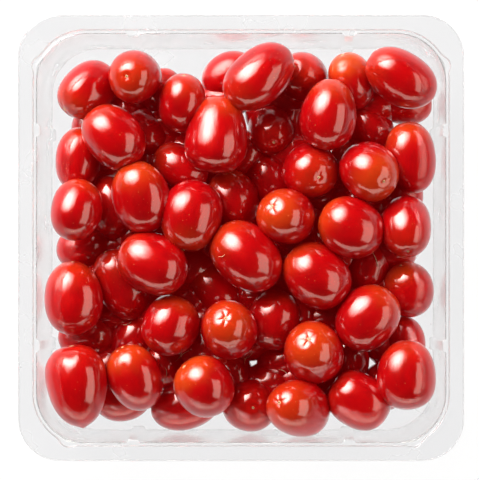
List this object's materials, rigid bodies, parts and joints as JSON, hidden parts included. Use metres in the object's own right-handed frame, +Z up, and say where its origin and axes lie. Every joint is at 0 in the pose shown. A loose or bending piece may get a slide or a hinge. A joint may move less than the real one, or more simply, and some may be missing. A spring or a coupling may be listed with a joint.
{
  "type": "punnet of cherry tomatoes",
  "caption": "Open clear plastic punnet with a flat rim and ribbed walls, heaped with small oval red tomatoes.",
  "frame": {"origin": "middle of the tray's underside, on the surface it stands on", "axes": "+Z up; +X and +Y along the square tray's sides, with +Y towards the top of the view from above"},
  "size_m": [0.19, 0.19, 0.0505],
  "materials": {
    "clear_plastic": "clear thermoformed sheet, glossy",
    "tomato_skin": "smooth glossy skin, deep red with orange shoulders"
  },
  "bodies": {
    "root": {"tray": "clear_plastic", "tomatoes": "tomato_skin"}
  },
  "joints": []
}
